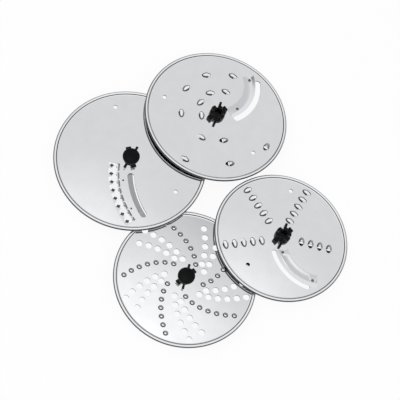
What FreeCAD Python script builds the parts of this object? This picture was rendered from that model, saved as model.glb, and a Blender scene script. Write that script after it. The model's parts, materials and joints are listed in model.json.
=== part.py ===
import FreeCAD, Part
import math
import os
from FreeCAD import Matrix, Placement, Rotation, Vector

# A set of four stainless cutting discs for a kitchen machine, lying in a loose pile.
# Every disc is a pressed sheet plate with a rolled rim, a black drive hub through its
# middle and a round cap on the hub's other side. Three of them carry a curved knife.
# Each disc is modelled flat, middle plane at z = 0 and its upper side at +z, and is then
# laid in the pile where its own weight lets it come to rest.
# Lengths are in millimetres and angles in degrees. A place on a disc is (share, angle),
# where the share runs from 0 at the reach of the hub's keys to 1 at the rim.

# Rim diameters of the four discs
COARSE_DIAMETER = 126.7
JULIENNE_DIAMETER = 132.3
SHRED_DIAMETER = 118.4
GRATE_DIAMETER = 122.5

# How the discs overlap: direction from the disc beneath, and how far the rims cross
JULIENNE_BEARING = 135.7
JULIENNE_OVERLAP = 11.6
SHRED_BEARING = 48.5
SHRED_OVERLAP = 26.7
COARSE_BEARING = 53.3
COARSE_OVERLAP = 41.4
SEAT_GAP = 0.3

# Pressed sheet with its rolled rim and lifting holes
SHEET = 1.0
RIM_WIDTH = 3.4
RIM_HEIGHT = 3.2
RIM_CORNER = 1.3
RIM_EDGE = 0.5
LIFT_HOLE_RADIUS = 1.8

# Facets of the round forms, fewer where a form repeats
PLATE_SIDES = 60
CAP_SIDES = 36
HUB_SIDES = 12
HOLE_SIDES = 8
RASP_SIDES = 6
TOOTH_SIDES = 6
RIVET_SIDES = 6

# Drive hub: core, toothed crown round the bore, thin keys and wide lobes
HUB_CORE_RADIUS = 5.3
HUB_FIT = 0.1
CROWN_RADIUS = 6.9
CROWN_HEIGHT = 8.0
CROWN_SLOTS = 6
CROWN_SLOT_WIDTH = 2.2
CROWN_SLOT_DEPTH = 3.8
DRIVE_BORE_RADIUS = 3.2
DRIVE_BORE_DEPTH = 6.0
BORE_WALL = 1.2
KEY_WIDTH = 2.1
KEY_REACH = 11.5
LOBE_WIDTH = 4.6
LOBE_REACH = 9.8
LUG_PROUD = 0.7
LUG_RISE = 6.4

# Hub cap
CAP_RADIUS = 7.4
CAP_HEIGHT = 2.6
CAP_EDGE = 1.0

# Knives and their rivets. A knife follows an arc, and its slot and blade are given as
# distances from that arc, positive towards the cutting edge. The blade's run is given as
# the shares of the arc at which it starts and ends.
BLADE_THICKNESS = 0.8
BLADE_BEVEL = 4.0
RIVET_RADIUS = 0.9
RIVET_HEAD_RADIUS = 1.3
RIVET_HEAD_HEIGHT = 0.4
RIVET_FIT = 0.05

# Shredding teeth: a rounded half-cone hood behind an opening in the sheet
TOOTH_LENGTH = 4.4
TOOTH_RADIUS = 2.7
TOOTH_BROW = 0.9
TOOTH_TAIL_RADIUS = 1.2
TOOTH_WALL = 0.6
TOOTH_THROAT = 2.6

# Coarse disc: angles of the keys and lobes, teeth as (angle, shares), holes and knife
COARSE_LUGS = (95, 58)
COARSE_SPOKES = ((200, 0.03, 0.40), (156, 0.14, 0.51), (121, 0.24, 0.61), (89, 0.32, 0.69),
                 (258, 0.30, 0.86), (304, 0.26, 0.73), (350, 0.82))
COARSE_LIFT_HOLES = ((0.75, 184), (0.71, 336))
COARSE_KNIFE = ((0.056, 21), (0.877, 69.9))
COARSE_BULGE = 7.85
COARSE_SLOT = (-1.2, 4.7)
COARSE_BLADE = (-10.2, 0.0)
COARSE_RUN = (0.0, 1.08)
COARSE_RIVETS = (0.19, 0.98)

# Julienne disc, with the comb that splits a slice into strips
JULIENNE_LUGS = (82, 126)
JULIENNE_LIFT_HOLES = ((0.79, 126), (0.71, 346))
JULIENNE_KNIFE = ((0.011, 279.1), (0.876, 302.6))
JULIENNE_BULGE = 3.18
JULIENNE_SLOT = (0.0, 5.8)
JULIENNE_BLADE = (-8.0, 4.6)
JULIENNE_RUN = (0.0, 1.0)
JULIENNE_RIVETS = (0.16, 0.72)
COMB_COUNT = 8
COMB_LINE = ((0.11, 223), (0.91, 289))
COMB_BULGE = 4.7
COMB_OUTER = 2.6
COMB_INNER = 6.8
COMB_RUN_ON = 0.05
COMB_THICKNESS = 0.8
FIN_THICKNESS = 0.7
FIN_LENGTH = 4.4
FIN_HEIGHT = 2.8
FIN_SHOULDER = 1.0
FIN_TIP = 1.1
FIN_SET_IN = 4.4
RECESS_SIDE = 2.8
RECESS_DEPTH = 0.7

# Shred disc: straight rows of teeth
SHRED_LUGS = (94, 60)
SHRED_ROW_ANGLES = (11, 82, 145, 213)
SHRED_ROW_COUNTS = (4, 5, 5, 5)
SHRED_ROW_START = 0.147
SHRED_ROW_STEP = 0.185
SHRED_LIFT_HOLES = ((0.78, 99), (0.67, 244))
SHRED_KNIFE = ((0.007, 259.3), (0.885, 322.0))
SHRED_BULGE = 7.15
SHRED_SLOT = (-1.2, 4.7)
SHRED_BLADE = (-11.4, 0.0)
SHRED_RUN = (0.06, 1.08)
SHRED_RIVETS = (0.12, 0.98)

# Grate disc: rasp rings and plain holes in rows that spiral outwards
GRATE_LUGS = (97, 60)
GRATE_SECTORS = 5
RASP_COUNT = 7
RASP_START = (0.097, 5)
RASP_END = 0.874
RASP_TWIST = 44
RASP_FOOT_RADIUS = 2.1
RASP_LIP_RADIUS = 1.4
RASP_BORE_RADIUS = 1.0
RASP_HEIGHT = 1.2
HOLE_RADIUS = 2.75
HOLE_TWIST = 30
LONG_ROW_COUNT = 6
LONG_ROW_START = (0.14, 46)
LONG_ROW_END = 0.917
SHORT_ROW_COUNT = 5
SHORT_ROW_START = (0.192, 65.6)
SHORT_ROW_END = 0.813

# How finely the resting pose is searched for
SEAT_POINTS = 120
SEAT_STEPS = 44
STEEPEST_SLOPE = 0.4

HALF = SHEET / 2
BEAD = RIM_HEIGHT / 2
ORIGIN = Vector(0, 0, 0)
UP = Vector(0, 0, 1)


def polar(radius, angle):
    """Point at a radius and an angle round the disc's axis."""
    turn = math.radians(angle)
    return Vector(radius * math.cos(turn), radius * math.sin(turn), 0)


def bar(width, reach, bottom, top, angle):
    """Straight bar from the axis outwards along one radius."""
    block = Part.makeBox(reach, width, top - bottom, Vector(0, -width / 2, bottom))
    block.rotate(ORIGIN, UP, angle)
    return block


def faceted(section, sides, place=ORIGIN, direction=UP):
    """Turned solid with flat facets and flat ends, from (radius, height) corners along a direction."""
    rings = []
    for radius, height in section:
        corners = [polar(radius, 360 * step / sides) + UP * height for step in range(sides)]
        rings.append(corners + corners[:1])
    faces = [Part.Face(Part.makePolygon(ring)) for ring in (rings[0], rings[-1])]
    for low, high in zip(rings, rings[1:]):
        for step in range(sides):
            corners = [low[step], low[step + 1], high[step + 1], high[step], low[step]]
            faces.append(Part.Face(Part.makePolygon(corners)))
    level = Vector(1, 0, 0) if direction == UP else UP
    body = Part.Solid(Part.Shell(faces))
    body.Placement = Placement(place, Rotation(level, Vector(), direction, "ZXY"))
    return body


def prism(radius, sides, bottom, top, place=ORIGIN):
    """Upright prism between two heights, for a small round form."""
    return faceted([(radius, bottom), (radius, top)], sides, place)


def turned(section, place=ORIGIN):
    """Solid of revolution from the corners of a section as (radius, height)."""
    corners = [place + Vector(radius, 0, height) for radius, height in section + section[:1]]
    return Part.Face(Part.makePolygon(corners)).revolve(place, UP, 360)


def bulged_arc(start, end, bulge):
    """Arc whose middle stands off the chord by the bulge, on the right of the way it runs."""
    chord = end - start
    aside = Vector(chord.y, -chord.x, 0).normalize()
    return Part.Arc(start, (start + end) / 2 + aside * bulge, end)


def along(arc, share):
    """Point and forward direction at a share of an arc's length."""
    spot = arc.FirstParameter + (arc.LastParameter - arc.FirstParameter) * share
    return arc.value(spot), Vector(*arc.tangent(spot)[0])


def beside(arc, distance, first, last):
    """Arc to the right of another at a distance, between two shares of its length."""
    points = []
    for share in (first, (first + last) / 2, last):
        place, forward = along(arc, share)
        points.append(place + Vector(forward.y, -forward.x, 0) * distance)
    return Part.Arc(*points)


def ribbon(arc, near, far, first=0, last=1):
    """Flat face between two distances to the right of an arc."""
    sides = [beside(arc, distance, first, last).toShape() for distance in (near, far)]
    ends = [Part.makeLine(sides[0].Vertexes[n].Point, sides[1].Vertexes[n].Point) for n in (0, 1)]
    return Part.Face(Part.Wire(Part.sortEdges(sides + ends)[0]))


def valley(height):
    """Place of the lowest point of a curve with one valley, by narrowing a bracket."""
    low, high = -STEEPEST_SLOPE, STEEPEST_SLOPE
    for _ in range(SEAT_STEPS):
        third = (high - low) / 3
        if height(low + third) < height(high - third):
            high -= third
        else:
            low += third
    return (low + high) / 2


class Disc:
    """One cutting disc: its plate and the pieces fixed to it, in its own flat frame."""

    def __init__(self, name, diameter, coupling_up, lug_angles, lift_holes):
        self.name = name
        self.radius = diameter / 2
        self.inner = self.radius - RIM_WIDTH
        self.coupling_up = coupling_up
        self.lug_angles = lug_angles
        self.bed = HALF
        self.raised = []
        core_hole = prism(HUB_CORE_RADIUS + HUB_FIT, HUB_SIDES, -HALF, HALF)
        self.cuts = [core_hole] + self.lugs(HUB_FIT, -HALF, HALF, 1)
        for place in lift_holes:
            self.cuts.append(prism(LIFT_HOLE_RADIUS, HOLE_SIDES, -HALF, HALF, self.spot(*place)))
        self.pieces = {}
        self.centre = ORIGIN
        self.slope = (0, 0)

    def reach(self, share):
        """Radius at a share of the way from the hub's keys to the rim."""
        return KEY_REACH + (self.inner - KEY_REACH) * share

    def spot(self, share, angle):
        """Point of the disc at a share of the way out."""
        return polar(self.reach(share), angle)

    def spiral(self, start, end_share, twist, count, turn):
        """Points in even steps outwards along a logarithmic spiral."""
        first_share, angle = start
        first = self.reach(first_share)
        pitch = (self.reach(end_share) - first) / (count - 1)
        radii = [first + pitch * step for step in range(count)]
        return [polar(radius, turn + angle + twist * math.log(radius / first)) for radius in radii]

    def lugs(self, spare, bottom, top, way):
        """Two thin keys and two wide lobes that stand out from the hub's core."""
        key_angle, lobe_angle = self.lug_angles
        shapes = []
        for half_turn in (0, 180):
            key_turn = way * key_angle + half_turn
            lobe_turn = way * lobe_angle + half_turn
            shapes.append(bar(KEY_WIDTH + 2 * spare, KEY_REACH + spare, bottom, top, key_turn))
            shapes.append(bar(LOBE_WIDTH + 2 * spare, LOBE_REACH + spare, bottom, top, lobe_turn))
        return shapes

    def tooth(self, share, angle):
        """Hooded tooth pressed up from the sheet, its mouth facing clockwise over an opening."""
        forward = polar(1, angle - 90)
        mouth = self.spot(share, angle)
        brow = TOOTH_RADIUS * TOOTH_BROW
        outer = [(TOOTH_RADIUS, 0), (brow, TOOTH_LENGTH / 2), (TOOTH_TAIL_RADIUS, TOOTH_LENGTH)]
        inner = [(TOOTH_RADIUS / 2, -TOOTH_THROAT), (TOOTH_RADIUS - TOOTH_WALL, -TOOTH_THROAT / 3),
                 (brow - TOOTH_WALL, TOOTH_LENGTH / 2), (TOOTH_TAIL_RADIUS / 2, TOOTH_LENGTH - TOOTH_WALL)]
        self.raised.append(faceted(outer, TOOTH_SIDES, mouth, -forward))
        self.cuts.append(faceted(inner, TOOTH_SIDES, mouth, -forward))

    def rasp_ring(self, place):
        """Pierced hole with a raised, tapering collar."""
        flare = (RASP_FOOT_RADIUS - RASP_LIP_RADIUS) / RASP_HEIGHT
        foot = RASP_FOOT_RADIUS + flare * HALF
        self.raised.append(faceted([(foot, 0), (RASP_LIP_RADIUS, HALF + RASP_HEIGHT)], RASP_SIDES, place))
        self.cuts.append(prism(RASP_BORE_RADIUS, RASP_SIDES, -HALF, HALF + RASP_HEIGHT, place))
        self.bed = HALF + RASP_HEIGHT

    def knife(self, ends, bulge, side, slot, blade_span, run, rivet_shares):
        """Curved knife riveted on the sheet, its edge over a slot on the given side of an arc."""
        arc = bulged_arc(*[self.spot(*place) for place in ends], bulge)
        opening = ribbon(arc, *[side * distance for distance in slot]).extrude(UP * SHEET)
        opening.translate(UP * -HALF)
        self.cuts.append(opening)
        back, edge = blade_span
        upper = HALF + BLADE_THICKNESS
        circle = arc.toShape().Curve
        rim = circle.Radius + side * edge
        ground = rim - side * BLADE_BEVEL
        clear = rim + side * BLADE_BEVEL
        bevel = turned([(rim, HALF), (ground, upper), (clear, upper), (clear, HALF)], circle.Center)
        blade = ribbon(arc, side * back, side * edge, *run).extrude(UP * BLADE_THICKNESS)
        blade.translate(UP * HALF)
        blade = blade.cut(bevel)
        rivets = []
        for share in rivet_shares:
            place, _ = along(beside(arc, side * back / 2, 0, 1), share)
            hole = prism(RIVET_RADIUS + RIVET_FIT, RIVET_SIDES, -HALF, upper, place)
            self.cuts.append(hole)
            blade = blade.cut(hole)
            section = [(RIVET_RADIUS, -HALF), (RIVET_RADIUS, upper), (RIVET_HEAD_RADIUS, upper),
                       (RIVET_RADIUS, upper + RIVET_HEAD_HEIGHT)]
            rivets.append(faceted(section, RIVET_SIDES, place))
        self.pieces["blade"] = blade
        self.pieces["blade_rivets"] = Part.makeCompound(rivets)
        if not self.coupling_up:
            for piece in ("blade", "blade_rivets"):
                self.pieces[piece] = self.pieces[piece].mirror(ORIGIN, UP)

    def comb(self):
        """Curved strip with upright fins, each beside a square recess with a sloping floor."""
        line = bulged_arc(*[self.spot(*place) for place in COMB_LINE], COMB_BULGE)
        strip = ribbon(line, -COMB_INNER, COMB_OUTER, -COMB_RUN_ON, 1 + COMB_RUN_ON)
        strip = strip.extrude(UP * COMB_THICKNESS)
        strip.translate(UP * HALF)
        outline = [(-FIN_LENGTH / 2, 0), (FIN_LENGTH / 2, 0), (FIN_LENGTH / 2, FIN_SHOULDER),
                   (FIN_TIP, FIN_HEIGHT), (-FIN_LENGTH / 2, 0)]
        side = Part.Face(Part.makePolygon([Vector(x, -FIN_THICKNESS / 2, z) for x, z in outline]))
        fins = []
        recesses = []
        for step in range(COMB_COUNT):
            place, forward = along(line, step / (COMB_COUNT - 1))
            inward = Vector(-forward.y, forward.x, 0)
            heading = math.degrees(math.atan2(forward.y, forward.x))
            fin = side.extrude(Vector(0, FIN_THICKNESS, 0))
            fin.rotate(ORIGIN, UP, heading)
            fin.translate(place + inward * FIN_SET_IN + UP * (HALF + COMB_THICKNESS))
            fins.append(fin)
            tip = RECESS_SIDE / math.sqrt(2)
            corners = [Vector(x, 0, z) for x, z in ((-tip, 0), (tip, 0), (-tip, -RECESS_DEPTH), (-tip, 0))]
            wedge = Part.Face(Part.makePolygon(corners)).extrude(Vector(0, 2 * tip, 0))
            wedge.translate(Vector(0, -tip, 0))
            recess = wedge.common(faceted([(tip, -RECESS_DEPTH), (tip, RECESS_DEPTH)], 4))
            recess.rotate(ORIGIN, UP, heading)
            recess.translate(place + UP * (HALF + COMB_THICKNESS))
            recesses.append(recess)
        self.pieces["comb"] = strip.fuse(fins).cut(recesses).removeSplitter()

    def hub(self):
        """Moulded hub with its toothed crown, and the cap that closes its other end.

        The keys and lobes stand tall on the disc's upper side and just proud on its lower side.
        """
        way = 1 if self.coupling_up else -1
        proud, rise = HALF + LUG_PROUD, HALF + LUG_RISE
        low, high = (-proud, rise) if self.coupling_up else (-rise, proud)
        crown_top = HALF + CROWN_HEIGHT
        crown = prism(CROWN_RADIUS, HUB_SIDES, HALF, crown_top)
        sleeve = prism(DRIVE_BORE_RADIUS + BORE_WALL, HUB_SIDES, low, crown_top)
        slots = []
        for step in range(CROWN_SLOTS):
            turn = 360 * step / CROWN_SLOTS
            slot = bar(CROWN_SLOT_WIDTH, CROWN_RADIUS * 2, crown_top - CROWN_SLOT_DEPTH, crown_top, turn)
            slots.append(slot.cut(sleeve))
        core = prism(HUB_CORE_RADIUS, HUB_SIDES, low, HALF)
        body = core.fuse([crown.cut(slots)] + self.lugs(0, low, high, way))
        bore = Part.makeCylinder(DRIVE_BORE_RADIUS, DRIVE_BORE_DEPTH, UP * (crown_top - DRIVE_BORE_DEPTH), UP)
        self.pieces["hub"] = body.cut(bore).removeSplitter()
        crest = low - CAP_HEIGHT
        cap = [(CAP_RADIUS - CAP_EDGE, crest), (CAP_RADIUS, crest + CAP_EDGE), (CAP_RADIUS, low)]
        self.pieces["cap"] = faceted(cap, CAP_SIDES)
        if not self.coupling_up:
            for piece in ("hub", "cap"):
                self.pieces[piece].rotate(ORIGIN, Vector(1, 0, 0), 180)

    def plate(self):
        """Sheet with its rolled rim, raised forms and openings."""
        crest = self.radius - RIM_CORNER
        sheet = faceted([(self.inner, -HALF), (crest, -BEAD), (self.radius, -RIM_EDGE),
                         (self.radius, RIM_EDGE), (crest, BEAD), (self.inner, HALF)], PLATE_SIDES)
        if self.raised:
            underside = prism(self.inner - HALF, PLATE_SIDES, -HALF - TOOTH_RADIUS, -HALF)
            sheet = sheet.fuse(self.raised).cut(underside)
        self.pieces["plate"] = sheet.cut(self.cuts)

    def feet(self):
        """Rings on the lower side that can touch what is beneath, as (radius, depth)."""
        cap_foot = (CAP_RADIUS - CAP_EDGE, HALF + LUG_PROUD + CAP_HEIGHT)
        crown_foot = (CROWN_RADIUS, HALF + CROWN_HEIGHT)
        return [(self.radius - RIM_CORNER, BEAD), cap_foot if self.coupling_up else crown_foot]

    def height_at(self, point):
        """Height of the disc's middle plane over a point of the table."""
        offset = point - self.centre
        return self.centre.z + offset.x * self.slope[0] + offset.y * self.slope[1]

    def distance(self, point):
        """Distance of a point from the disc's axis, seen from above."""
        return math.hypot(point.x - self.centre.x, point.y - self.centre.y)

    def ring(self, radius):
        """Points round a circle on the disc, seen from above."""
        return [self.centre + polar(radius, 360 * step / SEAT_POINTS) for step in range(SEAT_POINTS)]

    def lie_over(self, carrier, bearing, overlap):
        """Put the disc over the edge of the one that carries it."""
        self.centre = carrier.centre + polar(carrier.radius + self.radius - overlap, bearing)

    def come_to_rest(self, carriers):
        """Lay the disc down: of all its tilts, the one that lets its middle lie lowest."""
        stops = []
        for radius, depth in self.feet():
            stops += [(point, depth) for point in self.ring(radius)]
        for other in carriers:
            for point in self.ring(self.radius - RIM_CORNER):
                if other.distance(point) < other.radius:
                    top = BEAD if other.distance(point) > other.inner else other.bed
                    stops.append((point, other.height_at(point) + top + SEAT_GAP + BEAD))
            for point in other.ring(other.radius - RIM_CORNER):
                if self.distance(point) < self.inner:
                    stops.append((point, other.height_at(point) + BEAD + SEAT_GAP + HALF))
        limits = [(point.x - self.centre.x, point.y - self.centre.y, need) for point, need in stops]

        def middle(slope_x, slope_y):
            return max(need - x * slope_x - y * slope_y for x, y, need in limits)

        slope_x = valley(lambda x: middle(x, valley(lambda y: middle(x, y))))
        slope_y = valley(lambda y: middle(slope_x, y))
        self.slope = (slope_x, slope_y)
        self.centre = Vector(self.centre.x, self.centre.y, middle(slope_x, slope_y))

    def pose(self):
        """Placement that carries the flat disc to where it lies."""
        first = Vector(1, 0, self.slope[0]).normalize()
        normal = Vector(-self.slope[0], -self.slope[1], 1).normalize()
        columns = (first, normal.cross(first), normal, self.centre)
        rows = [[getattr(column, axis) for column in columns] for axis in "xyz"]
        return Placement(Matrix(*rows[0], *rows[1], *rows[2], 0, 0, 0, 1))


def make_coarse_disc():
    """Disc with scattered teeth on spokes and one knife, coupling side up."""
    disc = Disc("coarse_disc", COARSE_DIAMETER, True, COARSE_LUGS, COARSE_LIFT_HOLES)
    for angle, *shares in COARSE_SPOKES:
        for share in shares:
            disc.tooth(share, angle)
    disc.knife(COARSE_KNIFE, COARSE_BULGE, 1, COARSE_SLOT, COARSE_BLADE, COARSE_RUN, COARSE_RIVETS)
    return disc


def make_julienne_disc():
    """Disc with a comb of fins ahead of its knife, cap side up."""
    disc = Disc("julienne_disc", JULIENNE_DIAMETER, False, JULIENNE_LUGS, JULIENNE_LIFT_HOLES)
    disc.knife(JULIENNE_KNIFE, JULIENNE_BULGE, -1, JULIENNE_SLOT, JULIENNE_BLADE, JULIENNE_RUN,
               JULIENNE_RIVETS)
    disc.comb()
    return disc


def make_shred_disc():
    """Disc with straight rows of teeth and one knife, coupling side up."""
    disc = Disc("shred_disc", SHRED_DIAMETER, True, SHRED_LUGS, SHRED_LIFT_HOLES)
    for angle, count in zip(SHRED_ROW_ANGLES, SHRED_ROW_COUNTS):
        for step in range(count):
            disc.tooth(SHRED_ROW_START + SHRED_ROW_STEP * step, angle)
    disc.knife(SHRED_KNIFE, SHRED_BULGE, 1, SHRED_SLOT, SHRED_BLADE, SHRED_RUN, SHRED_RIVETS)
    return disc


def make_grate_disc():
    """Disc with spiral rows of rasp rings and plain holes, cap side up."""
    disc = Disc("grate_disc", GRATE_DIAMETER, False, GRATE_LUGS, ())
    for sector in range(GRATE_SECTORS):
        turn = 360 * sector / GRATE_SECTORS
        for place in disc.spiral(RASP_START, RASP_END, RASP_TWIST, RASP_COUNT, turn):
            disc.rasp_ring(place)
        holes = disc.spiral(LONG_ROW_START, LONG_ROW_END, HOLE_TWIST, LONG_ROW_COUNT, turn)
        holes += disc.spiral(SHORT_ROW_START, SHORT_ROW_END, HOLE_TWIST, SHORT_ROW_COUNT, turn)
        disc.cuts += [prism(HOLE_RADIUS, HOLE_SIDES, -HALF, HALF, place) for place in holes]
    return disc


coarse = make_coarse_disc()
julienne = make_julienne_disc()
shred = make_shred_disc()
grate = make_grate_disc()
discs = (coarse, julienne, shred, grate)

grate.come_to_rest([])
julienne.lie_over(grate, JULIENNE_BEARING, JULIENNE_OVERLAP)
julienne.come_to_rest([grate])
shred.lie_over(grate, SHRED_BEARING, SHRED_OVERLAP)
shred.come_to_rest([grate])
coarse.lie_over(julienne, COARSE_BEARING, COARSE_OVERLAP)
coarse.come_to_rest([julienne, shred])

nodes = {}
for disc in discs:
    disc.hub()
    disc.plate()
    for piece, shape in disc.pieces.items():
        shape.Placement = disc.pose().multiply(shape.Placement)
        nodes[disc.name + "_" + piece] = shape

# The origin is on the table, under the middle of the pile
box = Part.makeCompound(list(nodes.values())).optimalBoundingBox()
shift = Vector(-box.Center.x, -box.Center.y, -box.ZMin)
os.makedirs("parts", exist_ok=True)
for name, shape in nodes.items():
    shape.translate(shift)
    shape.exportStep("parts/" + name + ".step")
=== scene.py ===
"""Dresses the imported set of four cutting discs: polished sheet, ground knives, black moulded hubs."""

import json
import logging
import math
from dataclasses import dataclass, field
from enum import Enum

import bmesh
import bpy
from mathutils import Matrix, Vector


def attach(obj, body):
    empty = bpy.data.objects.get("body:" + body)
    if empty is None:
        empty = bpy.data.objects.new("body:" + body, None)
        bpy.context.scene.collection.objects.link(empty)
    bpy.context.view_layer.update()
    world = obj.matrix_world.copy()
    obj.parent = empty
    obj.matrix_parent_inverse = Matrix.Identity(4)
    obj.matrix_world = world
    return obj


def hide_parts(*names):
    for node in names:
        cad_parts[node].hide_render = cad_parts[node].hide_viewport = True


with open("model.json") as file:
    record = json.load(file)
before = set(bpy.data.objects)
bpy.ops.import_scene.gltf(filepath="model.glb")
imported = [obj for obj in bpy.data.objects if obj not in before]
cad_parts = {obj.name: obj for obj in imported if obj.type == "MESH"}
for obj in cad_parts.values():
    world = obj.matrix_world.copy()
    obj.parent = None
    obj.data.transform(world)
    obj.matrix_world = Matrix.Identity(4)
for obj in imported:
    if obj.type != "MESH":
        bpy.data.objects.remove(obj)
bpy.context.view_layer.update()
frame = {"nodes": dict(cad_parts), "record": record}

LOG = logging.getLogger("cutting_discs")
MM = 0.001
# Sockets of the Mix node in its colour form, where several share a name.
MIX_SHARE, MIX_FIRST, MIX_SECOND, MIXED = 0, 6, 7, 2
WHITE = (1.0, 1.0, 1.0, 1.0)
# A face whose normal lies less than this along an axis is a wall beside that axis.
UPRIGHT = 0.5

# Two numbers that belong together, such as the ends of a range, or a share of the way out and an angle.
Pair = tuple[float, float]
# A point in a plane, and a place in a disc's plane with a heading in degrees or a hole's radius.
Point = tuple[float, float]
Place = tuple[float, float, float]


def linear(colour: str) -> tuple[float, float, float, float]:
    """Linear colour of an sRGB hex value.

    Args:
        colour: Six hex digits, with or without a leading hash.

    Returns:
        Red, green, blue and an alpha of one.
    """
    digits = colour.lstrip("#")
    values = [int(digits[start:start + 2], 16) / 255 for start in (0, 2, 4)]
    parts = [v / 12.92 if v <= 0.04045 else ((v + 0.055) / 1.055) ** 2.4 for v in values]
    return parts[0], parts[1], parts[2], 1.0


def add_node(tree: bpy.types.NodeTree, kind: str, inputs: dict | None = None,
             **settings: object) -> bpy.types.Node:
    """Add one node with its settings and links.

    Args:
        tree: Node tree to add to.
        kind: Blender's name of the node type.
        inputs: Socket name or number to a constant, or to the output socket that feeds it.
        settings: Node properties.

    Returns:
        The new node.
    """
    node = tree.nodes.new(kind)
    for name, value in settings.items():
        setattr(node, name, value)
    for key, value in (inputs or {}).items():
        if isinstance(value, bpy.types.NodeSocket):
            tree.links.new(value, node.inputs[key])
        else:
            node.inputs[key].default_value = value
    return node


def empty_material(name: str) -> bpy.types.Material:
    """New material with an empty node tree.

    Args:
        name: What the real material is.

    Returns:
        The material.
    """
    material = bpy.data.materials.new(name)
    material.use_nodes = True
    material.node_tree.nodes.clear()
    return material


def polar(radius: float, angle: float) -> Point:
    """Point at a radius and an angle in degrees."""
    turn = math.radians(angle)
    return radius * math.cos(turn), radius * math.sin(turn)


def circle(radius: float, count: int, centre: Point = (0.0, 0.0)) -> list[Point]:
    """Evenly spaced points round a circle.

    Args:
        radius: Size of the circle.
        count: Number of points.
        centre: Its middle.

    Returns:
        The points, in order.
    """
    points = [polar(radius, 360 * step / count) for step in range(count)]
    return [(centre[0] + x, centre[1] + y) for x, y in points]


def bulged_arc(start: Point, end: Point, bulge: float, count: int, beside: float = 0.0) -> list[Point]:
    """Points along an arc whose middle stands off its chord.

    Args:
        start: First point.
        end: Last point.
        bulge: Distance of the arc's middle from the chord, to the right of the way it runs.
        count: Number of points.
        beside: Distance to the right of that arc at which the points lie.

    Returns:
        The points, in order.
    """
    chord_x, chord_y = end[0] - start[0], end[1] - start[1]
    length = math.hypot(chord_x, chord_y)
    along = chord_x / length, chord_y / length
    aside = along[1], -along[0]
    radius = (length * length / 4 + bulge * bulge) / (2 * bulge)
    half = 2 * math.atan2(bulge, length / 2)
    points = []
    for step in range(count):
        turn = half * (2 * step / (count - 1) - 1)
        forward = length / 2 + (radius + beside) * math.sin(turn)
        out = (radius + beside) * math.cos(turn) - radius + bulge
        points.append((start[0] + along[0] * forward + aside[0] * out,
                       start[1] + along[1] * forward + aside[1] * out))
    return points


class Facing(Enum):
    """Which side of a disc lies upwards."""

    COUPLING = 1
    CAP = -1


class Slot(Enum):
    """Material slots of the record."""

    PLATE = "polished_steel"
    BLADE = "blade_steel"
    RIVET = "rivet_steel"
    PLASTIC = "black_plastic"


@dataclass(frozen=True)
class MirrorSteel:
    """Stainless sheet, rolled and mirror polished: clear reflections, a little uneven from the press.

    To the eye it is a pale grey mirror. Its slow swell bends what it mirrors, and the steep faces that the press
    draws carry a painted shade, darker by their slope. Polishing grain is finer than a tenth of a
    millimetre in life, and is drawn coarser here so that it shows.
    """

    name: str = "mirror polished stainless sheet"
    colour: str = "#DCDDDE"
    shade: str = "#D2D4D6"
    roughness: float = 0.04
    haze_roughness: float = 0.06
    haze_mm: float = 9.0
    haze_span: Pair = (0.35, 0.75)
    rim_roughness: float = 0.09
    painted_shade_colour: str = "#5C5E61"
    pressed_roughness: float = 0.16
    wave_mm: float = 75.0
    wave_height_mm: float = 0.16
    grain_mm: float = 0.5
    grain_stretch: float = 0.08
    grain_strength: float = 0.04
    grain_height_mm: float = 0.002

    def material(self) -> bpy.types.Material:
        """Build the material.

        Returns:
            Metal whose tone, gloss and flatness drift slowly over the sheet, with faint polishing grain, a softer
            gloss on the rolled rim, and a painted shade with a softer gloss on steep pressed faces.
        """
        material = empty_material(self.name)
        tree = material.node_tree
        place = add_node(tree, "ShaderNodeTexCoord").outputs["Object"]
        wave = add_node(tree, "ShaderNodeTexNoise", {
            "Vector": place, "Scale": 1 / (self.wave_mm * MM), "Detail": 1.0})
        haze = add_node(tree, "ShaderNodeTexNoise", {
            "Vector": place, "Scale": 1 / (self.haze_mm * MM), "Detail": 4.0})
        stretch = add_node(tree, "ShaderNodeMapping", {"Vector": place, "Scale": (1.0, self.grain_stretch, 1.0)})
        grain = add_node(tree, "ShaderNodeTexNoise", {
            "Vector": stretch.outputs["Vector"], "Scale": 1 / (self.grain_mm * MM), "Detail": 3.0})
        polished = add_node(tree, "ShaderNodeMix", {
            MIX_SHARE: haze.outputs["Fac"], MIX_FIRST: linear(self.colour), MIX_SECOND: linear(self.shade)},
            data_type="RGBA")
        gloss = add_node(tree, "ShaderNodeMapRange", {
            "Value": haze.outputs["Fac"], "From Min": self.haze_span[0], "From Max": self.haze_span[1],
            "To Min": self.roughness, "To Max": self.haze_roughness})
        rim = add_node(tree, "ShaderNodeAttribute", attribute_name="rim").outputs["Fac"]
        rolled = add_node(tree, "ShaderNodeMath", {0: rim, 1: self.rim_roughness}, operation="MULTIPLY")
        # Painted shade: steep pressed faces, marked by their slope, are mixed towards dark grey and lose gloss.
        pressed = add_node(tree, "ShaderNodeAttribute", attribute_name="pressed").outputs["Fac"]
        drawn = add_node(tree, "ShaderNodeMath", {0: pressed, 1: self.pressed_roughness}, operation="MULTIPLY")
        tone = add_node(tree, "ShaderNodeMix", {
            MIX_SHARE: pressed, MIX_FIRST: polished.outputs[MIXED], MIX_SECOND: linear(self.painted_shade_colour)},
            data_type="RGBA")
        rough = gloss.outputs["Result"]
        for worn in (rolled, drawn):
            softer = add_node(tree, "ShaderNodeMath", {0: rough, 1: worn.outputs[0]}, operation="MAXIMUM")
            rough = softer.outputs[0]
        swell = add_node(tree, "ShaderNodeBump", {
            "Height": wave.outputs["Fac"], "Strength": 1.0, "Distance": self.wave_height_mm * MM})
        fine = add_node(tree, "ShaderNodeBump", {
            "Height": grain.outputs["Fac"], "Strength": self.grain_strength,
            "Distance": self.grain_height_mm * MM, "Normal": swell.outputs["Normal"]})
        shader = add_node(tree, "ShaderNodeBsdfPrincipled", {
            "Base Color": tone.outputs[MIXED], "Metallic": 1.0, "Roughness": rough,
            "Normal": fine.outputs["Normal"]})
        add_node(tree, "ShaderNodeOutputMaterial", {"Surface": shader.outputs["BSDF"]})
        return material


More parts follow.
